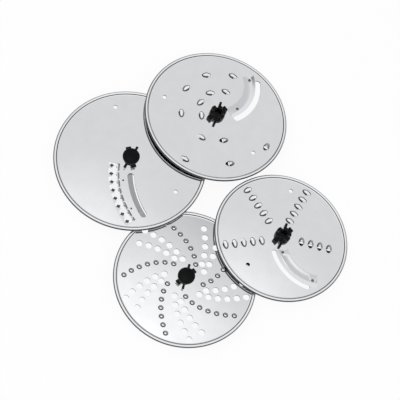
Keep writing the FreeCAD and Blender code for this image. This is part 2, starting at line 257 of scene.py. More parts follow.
@dataclass(frozen=True)
class GroundSteel:
    """Hardened knife steel, ground and polished: fine lines that run one way.

    To the eye it is a bright, slightly streaked metal. Grinding lines are finer than the picture shows, so they
    are drawn coarser here. Recesses that the mesh marks take a painted shade.
    """

    name: str = "ground stainless knife steel"
    colour: str = "#DDDEDF"
    shade: str = "#D3D5D7"
    roughness: float = 0.06
    gloss_spread: Pair = (0.7, 1.5)
    line_mm: float = 0.7
    line_stretch: float = 0.15
    line_strength: float = 0.1
    line_height_mm: float = 0.004
    painted_recess_shade: str = "#4E4F52"

    def material(self) -> bpy.types.Material:
        """Build the material.

        Returns:
            Metal with fine lines in tone and relief, and a painted shade where the mesh marks a recess.
        """
        material = empty_material(self.name)
        tree = material.node_tree
        place = add_node(tree, "ShaderNodeTexCoord").outputs["Object"]
        stretch = add_node(tree, "ShaderNodeMapping", {"Vector": place, "Scale": (1.0, self.line_stretch, 1.0)})
        lines = add_node(tree, "ShaderNodeTexNoise", {
            "Vector": stretch.outputs["Vector"], "Scale": 1 / (self.line_mm * MM), "Detail": 4.0})
        ground = add_node(tree, "ShaderNodeMix", {
            MIX_SHARE: lines.outputs["Fac"], MIX_FIRST: linear(self.colour), MIX_SECOND: linear(self.shade)},
            data_type="RGBA")
        # Painted shade: faces that the mesh marks as lying in a recess are mixed towards dark grey.
        recess = add_node(tree, "ShaderNodeAttribute", attribute_name="recess").outputs["Fac"]
        tone = add_node(tree, "ShaderNodeMix", {
            MIX_SHARE: recess, MIX_FIRST: ground.outputs[MIXED], MIX_SECOND: linear(self.painted_recess_shade)},
            data_type="RGBA")
        gloss = add_node(tree, "ShaderNodeMapRange", {
            "Value": lines.outputs["Fac"], "To Min": self.roughness * self.gloss_spread[0],
            "To Max": self.roughness * self.gloss_spread[1]})
        relief = add_node(tree, "ShaderNodeBump", {
            "Height": lines.outputs["Fac"], "Strength": self.line_strength, "Distance": self.line_height_mm * MM})
        shader = add_node(tree, "ShaderNodeBsdfPrincipled", {
            "Base Color": tone.outputs[MIXED], "Metallic": 1.0, "Roughness": gloss.outputs["Result"],
            "Normal": relief.outputs["Normal"]})
        add_node(tree, "ShaderNodeOutputMaterial", {"Surface": shader.outputs["BSDF"]})
        return material


@dataclass(frozen=True)
class BlackPlastic:
    """ABS moulded in a polished tool: deep black and glossy.

    To the eye it is nearly black, with small soft highlights and a trace of flow from the mould in its gloss.
    """

    name: str = "glossy moulded ABS"
    colour: str = "#050505"
    shade: str = "#0A0A0B"
    roughness: float = 0.1
    gloss_spread: Pair = (0.6, 1.4)
    specular: float = 0.09
    flow_mm: float = 2.4
    flow_strength: float = 0.15
    flow_height_mm: float = 0.03

    def material(self) -> bpy.types.Material:
        """Build the material.

        Returns:
            Black plastic whose gloss and tone vary a little.
        """
        material = empty_material(self.name)
        tree = material.node_tree
        place = add_node(tree, "ShaderNodeTexCoord").outputs["Object"]
        flow = add_node(tree, "ShaderNodeTexNoise", {
            "Vector": place, "Scale": 1 / (self.flow_mm * MM), "Detail": 4.0})
        tone = add_node(tree, "ShaderNodeMix", {
            MIX_SHARE: flow.outputs["Fac"], MIX_FIRST: linear(self.colour), MIX_SECOND: linear(self.shade)},
            data_type="RGBA")
        gloss = add_node(tree, "ShaderNodeMapRange", {
            "Value": flow.outputs["Fac"], "To Min": self.roughness * self.gloss_spread[0],
            "To Max": self.roughness * self.gloss_spread[1]})
        relief = add_node(tree, "ShaderNodeBump", {
            "Height": flow.outputs["Fac"], "Strength": self.flow_strength, "Distance": self.flow_height_mm * MM})
        shader = add_node(tree, "ShaderNodeBsdfPrincipled", {
            "Base Color": tone.outputs[MIXED], "Roughness": gloss.outputs["Result"],
            "Specular IOR Level": self.specular, "Normal": relief.outputs["Normal"]})
        add_node(tree, "ShaderNodeOutputMaterial", {"Surface": shader.outputs["BSDF"]})
        return material


class Finishes:
    """The materials of the set: one for each slot of the record, and two more knife steels: a copy with painted
    shade and the comb's.
    """

    def __init__(self) -> None:
        """Build every finish once."""
        knife = GroundSteel(colour="#CDCFD1", shade="#C0C2C5")
        # The rivet steel's dark grey is a painted dark reflection on the heads.
        rivet = GroundSteel(
            name="satin stainless rivet", colour="#6E7073", shade="#4C4E51", roughness=0.3, line_mm=0.3)
        # A darker copy of the knife steel: painted shade for a knife that lies under the sheet.
        shaded = GroundSteel(
            name="ground stainless knife steel under the sheet", colour="#A2A4A7", shade="#8C8E92", roughness=0.3)
        self.by_slot = {
            Slot.PLATE: MirrorSteel().material(),
            Slot.BLADE: knife.material(),
            Slot.RIVET: rivet.material(),
            Slot.PLASTIC: BlackPlastic().material(),
        }
        self.shaded_knife_under_sheet = shaded.material()
        self.comb = GroundSteel(name="polished stainless comb").material()


class Workshop:
    """Builds plain meshes, in millimetres, from outlines, sections and repeats."""

    # Corners this close together are one: in turned and joined meshes, and in a pierced sheet.
    MERGE_MM = 0.0005
    SNAP_MM = 0.001

    def __init__(self) -> None:
        """Build the node trees that repeat a piece and pierce a sheet."""
        self.repeat_tree = self._repeat_tree()
        self.sheet_tree = self._sheet_tree()

    @staticmethod
    def _new_tree(name: str, sockets: dict[str, str]) -> bpy.types.NodeTree:
        """Empty geometry node tree that takes geometry in and gives geometry out.

        Args:
            name: Name of the tree.
            sockets: Name and socket type of each further input.

        Returns:
            The tree.
        """
        tree = bpy.data.node_groups.new(name, "GeometryNodeTree")
        for label, kind in {"Geometry": "NodeSocketGeometry", **sockets}.items():
            tree.interface.new_socket(label, in_out="INPUT", socket_type=kind)
        tree.interface.new_socket("Geometry", in_out="OUTPUT", socket_type="NodeSocketGeometry")
        return tree

    @staticmethod
    def _repeat_tree() -> bpy.types.NodeTree:
        """Tree that sets one piece on every point, turned by the point's heading.

        Returns:
            The tree, with inputs for the piece and its finish.
        """
        tree = Workshop._new_tree("repeat on points", {
            "Piece": "NodeSocketObject", "Finish": "NodeSocketMaterial"})
        given = add_node(tree, "NodeGroupInput")
        points = add_node(tree, "GeometryNodeMeshToPoints", {"Mesh": given.outputs["Geometry"]})
        piece = add_node(tree, "GeometryNodeObjectInfo", {"Object": given.outputs["Piece"]})
        heading = add_node(tree, "GeometryNodeInputNamedAttribute", {"Name": "heading"}, data_type="FLOAT")
        turn = add_node(tree, "ShaderNodeCombineXYZ", {"Z": heading.outputs["Attribute"]})
        rotation = add_node(tree, "FunctionNodeEulerToRotation", {"Euler": turn.outputs["Vector"]})
        copies = add_node(tree, "GeometryNodeInstanceOnPoints", {
            "Points": points.outputs["Points"], "Instance": piece.outputs["Geometry"],
            "Rotation": rotation.outputs["Rotation"]})
        real = add_node(tree, "GeometryNodeRealizeInstances", {"Geometry": copies.outputs["Instances"]})
        dressed = add_node(tree, "GeometryNodeSetMaterial", {
            "Geometry": real.outputs["Geometry"], "Material": given.outputs["Finish"]})
        add_node(tree, "NodeGroupOutput", {"Geometry": dressed.outputs["Geometry"]})
        return tree

    @staticmethod
    def _sheet_tree() -> bpy.types.NodeTree:
        """Tree that fills outlines, less round holes set on points, and gives the sheet its thickness.

        Returns:
            The tree, with inputs for the holes, the thickness and the finish.
        """
        tree = Workshop._new_tree("perforated sheet", {
            "Hole centres": "NodeSocketObject", "Hole sides": "NodeSocketInt", "Thickness": "NodeSocketFloat",
            "Finish": "NodeSocketMaterial"})
        given = add_node(tree, "NodeGroupInput")
        outlines = add_node(tree, "GeometryNodeMeshToCurve", {"Mesh": given.outputs["Geometry"]})
        centres = add_node(tree, "GeometryNodeObjectInfo", {"Object": given.outputs["Hole centres"]})
        points = add_node(tree, "GeometryNodeMeshToPoints", {"Mesh": centres.outputs["Geometry"]})
        ring = add_node(tree, "GeometryNodeCurvePrimitiveCircle", {
            "Resolution": given.outputs["Hole sides"], "Radius": 1.0})
        size = add_node(tree, "GeometryNodeInputNamedAttribute", {"Name": "hole_radius"}, data_type="FLOAT")
        holes = add_node(tree, "GeometryNodeInstanceOnPoints", {
            "Points": points.outputs["Points"], "Instance": ring.outputs["Curve"],
            "Scale": size.outputs["Attribute"]})
        real_holes = add_node(tree, "GeometryNodeRealizeInstances", {"Geometry": holes.outputs["Instances"]})
        curves = add_node(tree, "GeometryNodeJoinGeometry")
        tree.links.new(outlines.outputs["Curve"], curves.inputs["Geometry"])
        tree.links.new(real_holes.outputs["Geometry"], curves.inputs["Geometry"])
        filled = add_node(tree, "GeometryNodeFillCurve", {"Curve": curves.outputs["Geometry"]})
        raised = add_node(tree, "GeometryNodeExtrudeMesh", {
            "Mesh": filled.outputs["Mesh"], "Offset Scale": given.outputs["Thickness"], "Individual": False})
        back = add_node(tree, "GeometryNodeFlipFaces", {"Mesh": filled.outputs["Mesh"]})
        both = add_node(tree, "GeometryNodeJoinGeometry")
        tree.links.new(raised.outputs["Mesh"], both.inputs["Geometry"])
        tree.links.new(back.outputs["Mesh"], both.inputs["Geometry"])
        merged = add_node(tree, "GeometryNodeMergeByDistance", {
            "Geometry": both.outputs["Geometry"], "Distance": Workshop.SNAP_MM})
        real = add_node(tree, "GeometryNodeRealizeInstances", {"Geometry": merged.outputs["Geometry"]})
        dressed = add_node(tree, "GeometryNodeSetMaterial", {
            "Geometry": real.outputs["Geometry"], "Material": given.outputs["Finish"]})
        add_node(tree, "NodeGroupOutput", {"Geometry": dressed.outputs["Geometry"]})
        return tree

    @staticmethod
    def _evaluate(mesh: bpy.types.Mesh, tree: bpy.types.NodeTree, values: dict[str, object]) -> bpy.types.Mesh:
        """Run a tree over a mesh and keep the result as a plain mesh.

        Args:
            mesh: Geometry that goes in.
            tree: Geometry node tree.
            values: Input name to value.

        Returns:
            The plain result.
        """
        holder = bpy.data.objects.new(tree.name, mesh)
        bpy.context.scene.collection.objects.link(holder)
        modifier = holder.modifiers.new(tree.name, "NODES")
        modifier.node_group = tree
        for item in tree.interface.items_tree:
            if item.in_out == "INPUT" and item.name in values:
                modifier[item.identifier] = values[item.name]
        bpy.context.view_layer.update()
        result = bpy.data.meshes.new_from_object(holder.evaluated_get(bpy.context.evaluated_depsgraph_get()))
        holder.modifiers.remove(modifier)
        bpy.data.objects.remove(holder)
        return result

    @staticmethod
    def _points(name: str, places: list[Place], attribute: str) -> bpy.types.Mesh:
        """Loose points on the disc's plane.

        Args:
            name: Name of the mesh.
            places: Position of each point and its value.
            attribute: Name under which the points carry those values.

        Returns:
            The points.
        """
        points = bpy.data.meshes.new(name)
        points.from_pydata([(x, y, 0.0) for x, y, _ in places], [], [])
        values = points.attributes.new(attribute, "FLOAT", "POINT")
        values.data.foreach_set("value", [value for _, _, value in places])
        return points

    def repeat(self, piece: bpy.types.Mesh, places: list[Place], finish: bpy.types.Material) -> bpy.types.Mesh:
        """Set copies of a piece at places on the disc.

        Args:
            piece: Mesh of one copy.
            places: Position and heading in degrees of each copy.
            finish: Material of the copies.

        Returns:
            One mesh with all copies.
        """
        points = self._points("places", [(x, y, math.radians(turn)) for x, y, turn in places], "heading")
        source = bpy.data.objects.new("one copy", piece)
        bpy.context.scene.collection.objects.link(source)
        result = self._evaluate(points, self.repeat_tree, {"Piece": source, "Finish": finish})
        bpy.data.objects.remove(source)
        return result

    def sheet(self, outlines: list[list[Point]], holes: list[Place], thickness: float,
              finish: bpy.types.Material, bottom: float, sides: int = 32) -> bpy.types.Mesh:
        """Flat sheet with openings.

        Args:
            outlines: Closed outlines, the outer one and the openings in it.
            holes: Centre and radius of each round hole.
            thickness: Height of the sheet.
            finish: Material of the sheet.
            bottom: Height of its lower face.
            sides: Points round a hole.

        Returns:
            The closed sheet.
        """
        vertices: list[tuple[float, float, float]] = []
        edges: list[tuple[int, int]] = []
        for outline in outlines:
            first = len(vertices)
            vertices += [(x, y, 0.0) for x, y in outline]
            edges += [(first + n, first + (n + 1) % len(outline)) for n in range(len(outline))]
        lines = bpy.data.meshes.new("outlines")
        lines.from_pydata(vertices, edges, [])
        centres = bpy.data.objects.new("hole centres", self._points("hole centres", holes, "hole_radius"))
        bpy.context.scene.collection.objects.link(centres)
        result = self._evaluate(lines, self.sheet_tree, {
            "Hole centres": centres, "Hole sides": sides, "Thickness": thickness, "Finish": finish})
        bpy.data.objects.remove(centres)
        result.transform(Matrix.Translation((0, 0, bottom)))
        return result

    @staticmethod
    def stitch(builder: bmesh.types.BMesh, rings: list[list[bmesh.types.BMVert]], around: bool) -> None:
        """Lay faces between rings of corners, one ring after the other.

        Args:
            builder: Builder that holds the corners.
            rings: Corners of each ring. A pole is one corner all the way.
            around: Whether each ring closes on itself.
        """
        for low, high in zip(rings, rings[1:]):
            for n in range(len(low) if around else len(low) - 1):
                after = (n + 1) % len(low)
                corners = list(dict.fromkeys([low[n], low[after], high[after], high[n]]))
                if len(corners) > 2:
                    builder.faces.new(corners)

    @staticmethod
    def lathe(section: list[Point], count: int, closed: bool) -> bpy.types.Mesh:
        """Turned mesh.

        Args:
            section: Corners as radius and height. A radius of zero is a pole.
            count: Steps round the axis.
            closed: Whether the last corner joins the first.

        Returns:
            The mesh.
        """
        builder = bmesh.new()
        rings = []
        for radius, height in section:
            if radius == 0:
                rings.append([builder.verts.new((0, 0, height))] * count)
            else:
                rings.append([builder.verts.new((*place, height)) for place in circle(radius, count)])
        Workshop.stitch(builder, rings + (rings[:1] if closed else []), True)
        return Workshop.closed_mesh(builder, "turned")

    @staticmethod
    def closed_mesh(builder: bmesh.types.BMesh, name: str) -> bpy.types.Mesh:
        """Turn a builder into a mesh whose faces point outwards.

        Args:
            builder: Faces of a closed shape. It is freed.
            name: Name of the mesh.

        Returns:
            The mesh, with its doubles merged.
        """
        bmesh.ops.remove_doubles(builder, verts=builder.verts, dist=Workshop.MERGE_MM)
        bmesh.ops.recalc_face_normals(builder, faces=builder.faces)
        mesh = bpy.data.meshes.new(name)
        builder.to_mesh(mesh)
        builder.free()
        return mesh

    @staticmethod
    def without_wall(sheet: bpy.types.Mesh, radius: float) -> bpy.types.Mesh:
        """Take the outer wall off a round sheet, where a rim goes on.

        Args:
            sheet: Mesh of the sheet, which is changed.
            radius: Its outer radius.

        Returns:
            The same mesh, open at its edge.
        """
        inside = radius - Workshop.SNAP_MM
        builder = bmesh.new()
        builder.from_mesh(sheet)
        wall = [face for face in builder.faces
                if abs(face.normal.z) < UPRIGHT and all(math.hypot(*vert.co[:2]) > inside for vert in face.verts)]
        bmesh.ops.delete(builder, geom=wall, context="FACES")
        builder.to_mesh(sheet)
        builder.free()
        return sheet

    @staticmethod
    def joined(meshes: list[bpy.types.Mesh], merge: float = MERGE_MM) -> bpy.types.Mesh:
        """One new mesh from one or more.

        Args:
            meshes: Meshes in one frame.
            merge: Distance within which corners are one.

        Returns:
            All of them, with shared corners merged.
        """
        builder = bmesh.new()
        for mesh in meshes:
            builder.from_mesh(mesh)
        bmesh.ops.remove_doubles(builder, verts=builder.verts, dist=merge)
        mesh = bpy.data.meshes.new("joined")
        builder.to_mesh(mesh)
        builder.free()
        return mesh

    @staticmethod
    def bars(sizes: list[tuple[float, float, float]], span: Pair, inner: float,
             bevel: float) -> bpy.types.Mesh:
        """Rounded bars that run outwards from the axis.

        Args:
            sizes: Width, reach and angle in degrees of each bar.
            span: Heights of the bars' lower and upper faces.
            inner: Radius at which they start.
            bevel: Width of the rounded edges.

        Returns:
            One mesh with all bars.
        """
        builder = bmesh.new()
        for width, reach, angle in sizes:
            made = bmesh.ops.create_cube(builder, size=1.0)["verts"]
            middle = (reach + inner) / 2, 0.0, (span[0] + span[1]) / 2
            matrix = (Matrix.Rotation(math.radians(angle), 4, "Z") @ Matrix.Translation(middle)
                      @ Matrix.Diagonal((reach - inner, width, span[1] - span[0], 1.0)))
            bmesh.ops.transform(builder, matrix=matrix, verts=made)
        bmesh.ops.bevel(
            builder, geom=list(builder.edges), offset=bevel, segments=3, affect="EDGES", profile=0.5)
        return Workshop.closed_mesh(builder, "bars")


@dataclass(frozen=True)
class Lie:
    """Where a disc lies: from its own flat frame in millimetres to the row frame in metres."""

    matrix: Matrix

    @classmethod
    def from_mount(cls, mount: dict, facing: Facing, depth: float) -> "Lie":
        """Read a disc's place from its drive bore.

        Args:
            mount: The record's mount of the bore.
            facing: Which side of the disc lies upwards.
            depth: Millimetres from the bore's middle to the sheet's middle plane.

        Returns:
            The disc's place.
        """
        axis = Vector(mount["axis"]).normalized()
        centre = Vector(mount["pos_m"]) - axis * depth * MM
        normal = axis * facing.value
        first = Vector((1.0, 0.0, -normal.x / normal.z)).normalized()
        second = normal.cross(first)
        turn = Matrix((first, second, normal)).transposed().to_4x4()
        return cls(Matrix.Translation(centre) @ turn @ Matrix.Scale(MM, 4))


@dataclass
class Hub:
    """Black moulded hub: core, toothed crown round the bore, thin keys and wide lobes, and the cap."""

    half: float = 0.5
    # Crown round the bore: its teeth rise with a wave, between the sleeve's radius and its own.
    crown_radius: float = 6.9
    crown_height: float = 8.0
    crown_teeth: int = 6
    tooth_start: float = 0.12
    tooth_flank: float = 0.3
    slot_depth: float = 3.8
    sleeve_radius: float = 4.5
    bore_radius: float = 3.2
    bore_depth: float = 6.0
    # Its rounded edge, the shares of that at the middle of the rounding, and its share at the bore.
    edge: float = 0.45
    edge_middle: Pair = (0.35, 0.3)
    bore_edge: float = 0.6
    steps: int = 144
    # Keys and lobes: width and reach of each, where they start, and how far they stand out of the sheet.
    key: Pair = (2.1, 11.5)
    lobe: Pair = (4.6, 9.8)
    lug_root: float = 3.7
    lug_edge: float = 0.3
    proud: float = 0.7
    rise: float = 6.4
    # Core inside them, or the thin neck and arms under a cap, and its lap into the crown.
    core_radius: float = 5.3
    neck_radius: float = 4.2
    neck_steps: int = 64
    arm_height: float = 1.9
    lap: float = 0.2
    # Cap with a rolled edge, and a dome that is nearly flat within its crest.
    cap_radius: float = 7.4
    cap_height: float = 2.6
    cap_edge: float = 1.0
    cap_edge_steps: int = 8
    cap_dome: float = 0.12
    crest_radius: float = 4.0
    crest_drop: float = 0.04
    cap_steps: int = 96

    def lug_span(self, facing: Facing) -> Pair:
        """Heights of the keys with the coupling upwards: they are tall on the side that is seen.

        Args:
            facing: Which side lies upwards.

        Returns:
            Lowest and highest point.
        """
        low, high = -self.half - self.proud, self.half + self.rise
        return (low, high) if facing is Facing.COUPLING else (-high, -low)

    def crown_outline(self, inset: float) -> list[Point]:
        """Outline of the crown's rounded teeth.

        Args:
            inset: How far it is drawn in.

        Returns:
            Points in order, one for each step round the axis.
        """
        points = []
        for step in range(self.steps):
            angle = 360 * step / self.steps
            wave = 0.5 - 0.5 * math.cos(math.radians(self.crown_teeth * angle))
            share = min(1.0, max(0.0, (wave - self.tooth_start) / self.tooth_flank))
            smooth = share * share * (3 - 2 * share)
            radius = self.sleeve_radius + (self.crown_radius - self.sleeve_radius) * smooth
            points.append(polar(radius - inset, angle))
        return points

    def crown(self) -> bpy.types.Mesh:
        """Crown with its flange below, teeth above and the open bore.

        Returns:
            The closed crown, coupling upwards.
        """
        edge, steps = self.edge, self.steps
        top = self.half + self.crown_height
        root = top - self.slot_depth
        chamfer = edge * self.bore_edge
        inward, downward = (edge * share for share in self.edge_middle)
        flange, bore = circle(self.crown_radius, steps), circle(self.bore_radius, steps)
        teeth = self.crown_outline(0.0)
        levels = [
            (flange, self.half), (flange, root - edge), (circle(self.crown_radius - edge, steps), root),
            (self.crown_outline(edge), root), (teeth, root + edge), (teeth, top - edge),
            (self.crown_outline(inward), top - downward), (self.crown_outline(edge), top),
            (circle(self.bore_radius + chamfer, steps), top), (bore, top - chamfer), (bore, top - self.bore_depth)]
        builder = bmesh.new()
        rings = [[builder.verts.new((x, y, z)) for x, y in points] for points, z in levels]
        Workshop.stitch(builder, rings, True)
        builder.faces.new(rings[0])
        builder.faces.new(rings[-1])
        return Workshop.closed_mesh(builder, "crown")

    def body(self, workshop: Workshop, lugs: Pair, facing: Facing) -> bpy.types.Mesh:
        """Hub with its keys and lobes.

        Args:
            workshop: Mesh builder.
            lugs: Angles of the keys and of the lobes.
            facing: Which side lies upwards.

        Returns:
            The hub in the disc's frame.
        """
        kinds = zip((self.key, self.lobe), lugs)
        sizes = [(*size, angle * facing.value + turn) for size, angle in kinds for turn in (0, 180)]
        low, high = self.lug_span(facing)
        if facing is Facing.COUPLING:
            radius, spans = self.core_radius, [(low, high)]
        else:
            radius, spans = self.neck_radius, [(low, low + self.arm_height), (-self.half, high)]
        top = self.half + self.lap
        neck = [(0.0, low), (radius, low), (radius, top), (0.0, top)]
        parts = [self.crown(), workshop.lathe(neck, self.neck_steps, False)]
        parts += [workshop.bars(sizes, span, self.lug_root, self.lug_edge) for span in spans]
        return self.turned_over(workshop.joined(parts), facing)

    def cap(self, workshop: Workshop, facing: Facing) -> bpy.types.Mesh:
        """Round cap with a rolled edge and a slight dome.

        Args:
            workshop: Mesh builder.
            facing: Which side lies upwards.

        Returns:
            The cap in the disc's frame.
        """
        low = -self.lug_span(facing)[0]
        crest = low + self.cap_height
        section = [(0.0, -low), (self.cap_radius, -low)]
        for step in range(self.cap_edge_steps + 1):
            x, y = polar(self.cap_edge, 90 * step / self.cap_edge_steps)
            section.append((self.cap_radius - self.cap_edge + x, -(crest - self.cap_dome - self.cap_edge + y)))
        section += [(self.crest_radius, -crest + self.crest_drop), (0.0, -crest)]
        return self.turned_over(workshop.lathe(section, self.cap_steps, False), facing)

    @staticmethod
    def turned_over(mesh: bpy.types.Mesh, facing: Facing) -> bpy.types.Mesh:
        """Turn a coupling-up mesh over where the cap lies upwards.

        Args:
            mesh: Mesh with the coupling upwards, which is changed.
            facing: Which side lies upwards.

        Returns:
            The same mesh.
        """
        if facing is Facing.CAP:
            mesh.transform(Matrix.Rotation(math.pi, 4, "X"))
        return mesh


@dataclass
class Knife:
    """Slot and rivets of a curved knife.

    Attributes:
        start: Share of the way out and angle at which the arc of its edge starts.
        end: Share and angle at which that arc ends.
        bulge: How far the arc's middle stands off its chord.
        side: Which side of the arc lies before the edge, 1 for the right of the way it runs and -1 for the left.
        slot_span: Distances of the slot's two sides before the edge.
        back: Distance of the blade's back before the edge, so less than zero.
        rivet_shares: Shares of the way along at which the rivets sit.
        rivet_section: Radius and height round a rivet, from its foot under the sheet to the crest of its head.
    """

    start: Pair
    end: Pair
    bulge: float
    side: int
    slot_span: Pair
    back: float
    rivet_shares: Pair
    rivet_section: tuple[Point, ...] = (
        (0.0, -0.62), (0.6, -0.6), (0.9, -0.5), (0.9, 1.2), (1.3, 1.3), (1.2, 1.5), (0.8, 1.66), (0.0, 1.7))
    rivet_steps: int = 32
    steps: int = 49
    end_steps: int = 4
    line_steps: int = 100

    def slot(self, disc: "CuttingDisc") -> list[Point]:
        """Closed outline of the slot, with round ends.

        Args:
            disc: Disc that the knife is on.

        Returns:
            Points in order.
        """
        ends = disc.spot(*self.start), disc.spot(*self.end)
        lines = [bulged_arc(*ends, self.bulge, self.steps, self.side * distance) for distance in self.slot_span]
        near, far = (line[self.end_steps:-self.end_steps] for line in lines)
        return (near + self.round_end(near[-1], far[-1], near[-2])
                + far[::-1] + self.round_end(far[0], near[0], far[1]))

    @staticmethod
    def round_end(first: Point, last: Point, before: Point, steps: int = 12) -> list[Point]:
        """Half circle between the two sides of a band.

        Args:
            first: Where it starts.
            last: Where it ends.
            before: Point that it bulges away from.
            steps: Steps round the half circle.

        Returns:
            Points between the two ends.
        """
        centre = Vector(first).lerp(Vector(last), 0.5)
        arm = Vector(first) - centre
        ahead = (Vector(first) - Vector(before)).normalized() * arm.length
        turns = [math.pi * step / steps for step in range(1, steps)]
        return [tuple(centre + arm * math.cos(turn) + ahead * math.sin(turn)) for turn in turns]

    def rivets(self, disc: "CuttingDisc", workshop: Workshop, finish: bpy.types.Material) -> bpy.types.Mesh:
        """Rivets through the sheet and the blade, heads on the side where the blade lies.

        Args:
            disc: Disc that the knife is on.
            workshop: Mesh builder.
            finish: Material of the rivets.

        Returns:
            The rivets in the disc's frame.
        """
        ends = disc.spot(*self.start), disc.spot(*self.end)
        line = bulged_arc(*ends, self.bulge, self.line_steps + 1, self.side * self.back / 2)
        places = [(*line[round(share * self.line_steps)], 0.0) for share in self.rivet_shares]
        rivet = workshop.lathe(list(self.rivet_section), self.rivet_steps, False)
        mesh = workshop.repeat(rivet, places, finish)
        if disc.facing is Facing.CAP:
            mesh.transform(Matrix.Diagonal((1.0, 1.0, -1.0, 1.0)))
            mesh.flip_normals()
        return mesh


@dataclass
class CuttingDisc:
    """One disc of the set: its sheet, rim, raised forms, knife, hub and cap.

    Attributes:
        name: Name of its body, which starts the names of its pieces.
        mount: Name of its drive bore in the record.
        diameter: Width over the rim.
        facing: Which side lies upwards.
        lugs: Angles of the hub's keys and of its lobes.
        lift_holes: Share of the way out and angle of each hole to lift it by.
    """

    name: str
    mount: str
    diameter: float
    facing: Facing
    lugs: Pair
    lift_holes: list[Pair]
    hub: Hub = field(default_factory=Hub)
    knife: Knife | None = None
    half: float = 0.5
    # Rolled rim: a bead on a fillet, with a flat ring of the sheet inside it.
    bead: float = 1.6
    bead_steps: int = 13
    fillet: float = 0.6
    fillet_steps: int = 7
    flat_ring: float = 0.5
    rim_width: float = 3.4
    rim_steps: int = 240
    rim_margin: float = 0.05
    clear: float = 0.03
    lift_hole_radius: float = 1.8
    hub_hole_radius: float = 5.4
    # Slopes between which a face turns from polished steel to steep pressed steel with a painted shade and a
    # softer gloss, and the angle that makes a sharp edge.
    steep_shade_slope: Pair = (0.08, 0.4)
    sharp_angle: float = 38.0
    # Heights over the sheet between which a face of a strip that looks up lies in a recess, and takes a painted
    # shade.
    recess_span: Pair = (0.1, 0.75)

    def reach(self, share: float) -> float:
        """Radius at a share of the way from the hub's keys to the rim."""
        inner = self.diameter / 2 - self.rim_width
        return self.hub.key[1] + (inner - self.hub.key[1]) * share

    def spot(self, share: float, angle: float) -> Point:
        """Point of the disc at a share of the way out."""
        return polar(self.reach(share), angle)

    def rim_section(self) -> list[Point]:
        """Section of the rolled rim: a flat ring, a hollow curve out of the sheet, then round the bead.

        Returns:
            Radius and height of each corner, from the sheet's upper face round to its lower one.
        """
        bead_centre = self.diameter / 2 - self.clear - self.bead
        rise = self.half + self.fillet
        foot = bead_centre - math.sqrt((self.bead + self.fillet) ** 2 - rise ** 2)
        meet = math.degrees(math.atan2(rise, bead_centre - foot))
        upper = [(foot - self.flat_ring, self.half)]
        for step in range(self.fillet_steps + 1):
            x, y = polar(self.fillet, -90 + (90 - meet) * step / self.fillet_steps)
            upper.append((foot + x, rise + y))
        for step in range(1, self.bead_steps + 1):
            x, y = polar(self.bead, 180 - meet - (180 - meet) * step / self.bead_steps)
            upper.append((bead_centre + x, y))
        return upper + [(radius, -height) for radius, height in upper[-2::-1]]

    def openings(self) -> list[list[Point]]:
        """Outlines of the openings that are not round."""
        return [self.knife.slot(self)] if self.knife else []

    def holes(self) -> list[Place]:
        """Centres and radii of the round holes."""
        holes = [(*self.spot(*place), self.lift_hole_radius) for place in self.lift_holes]
        return holes + [(0.0, 0.0, self.hub_hole_radius)]

    def raised(self, workshop: Workshop, finish: bpy.types.Material) -> list[bpy.types.Mesh]:
        """Meshes of the forms that stand up from the sheet."""
        return []

    def plate(self, workshop: Workshop, finish: bpy.types.Material) -> bpy.types.Mesh:
        """Sheet, rolled rim and raised forms in one mesh.

        Args:
            workshop: Mesh builder.
            finish: Material of the sheet.

        Returns:
            The plate in the disc's frame, with its rim and its steep pressed faces marked.
        """
        section = self.rim_section()
        outline = circle(section[0][0], self.rim_steps)
        sheet = workshop.sheet([outline] + self.openings(), self.holes(), 2 * self.half, finish, -self.half)
        rim = workshop.lathe(section, self.rim_steps, False)
        mesh = workshop.joined([workshop.without_wall(sheet, section[0][0]), rim])
        mesh = workshop.joined([mesh] + self.raised(workshop, finish))
        marks = mesh.attributes.new("rim", "FLOAT", "POINT")
        start = section[1][0] + self.rim_margin
        marks.data.foreach_set("value", [float(math.hypot(*vert.co[:2]) > start) for vert in mesh.vertices])
        # Slope of each face, from which the sheet's material paints shade on steep pressed faces and softens their
        # gloss.
        pressed = mesh.attributes.new("pressed", "FLOAT", "FACE")
        low, high = self.steep_shade_slope
        slopes = [1 - abs(face.normal.z) for face in mesh.polygons]
        pressed.data.foreach_set("value", [min(1.0, max(0.0, (slope - low) / (high - low))) for slope in slopes])
        return mesh

    def dress(self, workshop: Workshop, finishes: Finishes, mounts: dict[str, dict]) -> None:
        """Build every piece of the disc and set it on the disc's body.

        Args:
            workshop: Mesh builder.
            finishes: Materials by slot.
            mounts: The record's mounts by name.
        """
        depth = self.half + self.hub.crown_height - self.hub.bore_depth / 2
        lie = Lie.from_mount(mounts[self.mount], self.facing, depth)
        steel = finishes.by_slot[Slot.PLATE]
        pieces = {
            "plate": (self.plate(workshop, steel), Slot.PLATE),
            "hub": (self.hub.body(workshop, self.lugs, self.facing), Slot.PLASTIC),
            "cap": (self.hub.cap(workshop, self.facing), Slot.PLASTIC),
        }
        if self.knife:
            rivets = self.knife.rivets(self, workshop, finishes.by_slot[Slot.RIVET])
            pieces["blade_rivets"] = (rivets, Slot.RIVET)
        for piece, (mesh, slot) in pieces.items():
            mesh.transform(lie.matrix)
            self.hand_over(piece, mesh, slot, finishes.by_slot[slot])
        # A knife under the sheet takes the copy with painted shade.
        blade = finishes.by_slot[Slot.BLADE] if self.facing is Facing.COUPLING else finishes.shaded_knife_under_sheet
        for piece, finish in (("blade", blade), ("comb", finishes.comb)):
            node = frame["nodes"].get(f"{self.name}_{piece}")
            if node:
                mesh = workshop.joined([node.data], Workshop.SNAP_MM * MM)
                if piece == "comb":
                    # The comb's recesses take a painted shade.
                    self.mark_recesses(mesh, lie)
                self.hand_over(piece, mesh, Slot.BLADE, finish)

